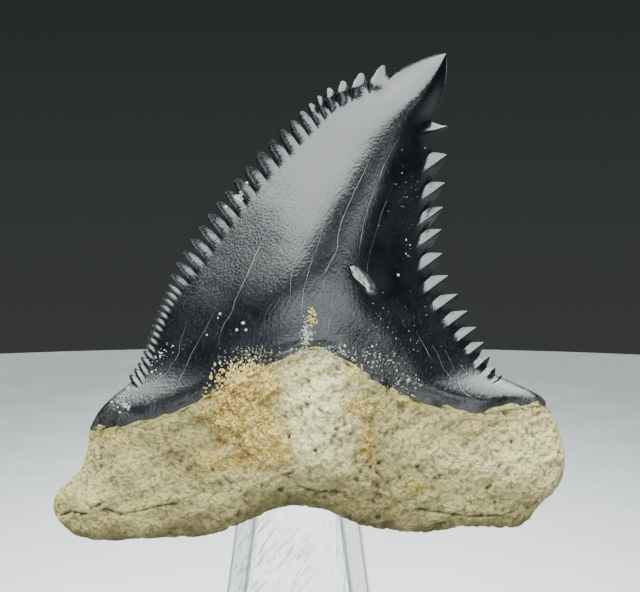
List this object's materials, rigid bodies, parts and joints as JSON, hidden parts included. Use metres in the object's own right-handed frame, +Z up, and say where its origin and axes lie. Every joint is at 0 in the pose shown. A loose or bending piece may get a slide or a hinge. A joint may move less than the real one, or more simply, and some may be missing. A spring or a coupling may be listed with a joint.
{
  "type": "fossil shark tooth on a stand",
  "caption": "Broad curved fossil tooth with saw-toothed cutting edges and a two-lobed root, standing on a tapered clear post.",
  "frame": {"origin": "middle of the stand's square foot, on the surface it stands on", "axes": "+Z up, -Y out of the tooth's domed face towards the viewer, +X towards the edge with the larger cusplets"},
  "size_m": [0.0347, 0.016, 0.0599],
  "materials": {
    "fossil_tooth": "glossy blue-black enamel crown over a matt cream mineral root",
    "clear_acrylic": "clear polished acrylic with fine scratches"
  },
  "bodies": {
    "root": {"tooth": "fossil_tooth", "stand": "clear_acrylic"}
  },
  "joints": []
}
